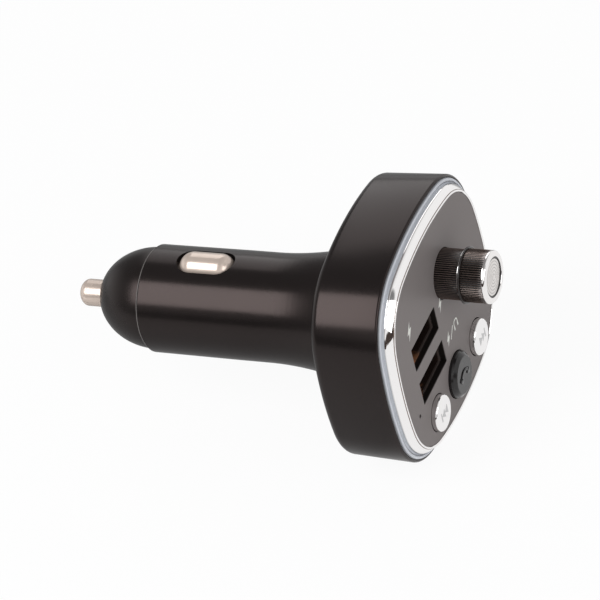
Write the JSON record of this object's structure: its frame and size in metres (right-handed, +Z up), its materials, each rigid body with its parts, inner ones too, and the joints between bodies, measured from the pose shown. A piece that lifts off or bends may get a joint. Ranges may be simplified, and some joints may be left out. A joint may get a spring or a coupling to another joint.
{
  "type": "car fm transmitter",
  "caption": "Car FM transmitter: 12 V lighter plug barrel with spring contacts and a rounded-square head with light ring, sockets, knob and buttons.",
  "frame": {"origin": "on the plug axis, at the head end of the straight cylindrical stretch of the plug barrel", "axes": "+Y along the plug axis towards the centre contact, so the user's face looks along -Y; +Z up with the button row lowest; +X to the right seen from the user"},
  "size_m": [0.0512, 0.0861, 0.0471],
  "materials": {
    "shell_black": "fine moulded grain",
    "nose_black": "satin",
    "light_guide": "translucent, satin",
    "chrome_trim": "mirror plated plastic",
    "panel_gloss": "smoked gloss",
    "frame_plastic": "moulded",
    "socket_steel": "tinned sheet",
    "tongue_plastic": "moulded",
    "gold_contact": "gold flashed",
    "board_green": "solder mask",
    "encoder_steel": "plated sheet",
    "display_plastic": "moulded",
    "white_plastic": "moulded",
    "chip_black": "moulded epoxy",
    "coil_grey": "ferrite",
    "can_sleeve": "drawn can",
    "brass_part": "stamped",
    "screw_steel": "zinc plated",
    "spring_steel": "drawn wire",
    "nickel": "nickel plated, satin",
    "button_black": "satin",
    "knob_black": "fine ribs"
  },
  "bodies": {
    "housing": {"head_shell": "shell_black", "plug_barrel": "shell_black", "nose_cap": "nose_black", "light_ring": "light_guide", "chrome_bezel": "chrome_trim", "face_panel": "panel_gloss", "front_frame": "frame_plastic", "usb_shell_upper": "socket_steel", "usb_shell_lower": "socket_steel", "usb_tongue_upper": "tongue_plastic", "usb_tongue_lower": "tongue_plastic", "usb_contacts_upper": "gold_contact", "usb_contacts_lower": "gold_contact", "main_board": "board_green", "encoder_body": "encoder_steel", "display_module": "display_plastic", "display_holder": "white_plastic", "microphone": "socket_steel", "ring_leds": "white_plastic", "switch_body_left": "chip_black", "switch_body_centre": "chip_black", "switch_body_right": "chip_black", "wireless_chip": "chip_black", "crystal": "can_sleeve", "tuner_chip": "chip_black", "board_header": "chip_black", "power_board": "board_green", "power_inductor": "coil_grey", "power_capacitors": "can_sleeve", "power_chip": "chip_black", "tip_terminal": "brass_part", "frame_screws": "screw_steel", "barrel_screws": "screw_steel", "tip_spring": "spring_steel", "leaf_spring_top": "brass_part", "leaf_spring_bottom": "brass_part"},
    "tip": {"tip_contact": "nickel"},
    "upper_contact": {"side_contact_top": "nickel"},
    "lower_contact": {"side_contact_bottom": "nickel"},
    "left_button": {"button_left": "chrome_trim", "switch_stem_left": "white_plastic"},
    "centre_button": {"button_centre": "button_black", "switch_stem_centre": "white_plastic"},
    "right_button": {"button_right": "chrome_trim", "switch_stem_right": "white_plastic"},
    "knob_plunger": {"encoder_plunger": "white_plastic"},
    "knob": {"encoder_shaft": "encoder_steel", "knob_sleeve": "knob_black", "knob_collar": "knob_black", "knob_cap": "chrome_trim"}
  },
  "joints": [
    {"name": "tip_press", "type": "slide", "parent": "housing", "child": "tip", "axis": [0, -1, 0], "range_m": [0, 0.003], "stiffness_N_per_m": 1500, "springref_m": -0.002, "deforming": ["tip_spring"]},
    {"name": "upper_contact_press", "type": "slide", "parent": "housing", "child": "upper_contact", "axis": [0, 0, -1], "range_m": [0, 0.0011], "stiffness_N_per_m": 2500, "springref_m": -0.0008, "deforming": ["leaf_spring_top"]},
    {"name": "lower_contact_press", "type": "slide", "parent": "housing", "child": "lower_contact", "axis": [0, 0, 1], "range_m": [0, 0.0011], "stiffness_N_per_m": 2500, "springref_m": -0.0008, "deforming": ["leaf_spring_bottom"]},
    {"name": "left_button_press", "type": "slide", "parent": "housing", "child": "left_button", "axis": [0, 1, 0], "range_m": [0, 0.0005], "stiffness_N_per_m": 2000, "springref_m": -0.0003},
    {"name": "centre_button_press", "type": "slide", "parent": "housing", "child": "centre_button", "axis": [0, 1, 0], "range_m": [0, 0.0005], "stiffness_N_per_m": 2000, "springref_m": -0.0003},
    {"name": "right_button_press", "type": "slide", "parent": "housing", "child": "right_button", "axis": [0, 1, 0], "range_m": [0, 0.0005], "stiffness_N_per_m": 2000, "springref_m": -0.0003},
    {"name": "knob_press", "type": "slide", "parent": "housing", "child": "knob_plunger", "axis": [0, 1, 0], "range_m": [0, 0.0005], "stiffness_N_per_m": 3000, "springref_m": -0.0003},
    {"name": "knob_turn", "type": "hinge", "parent": "knob_plunger", "child": "knob", "pos_m": [0.004, -0.035, 0.00845], "axis": [0, 1, 0], "continuous": true}
  ]
}
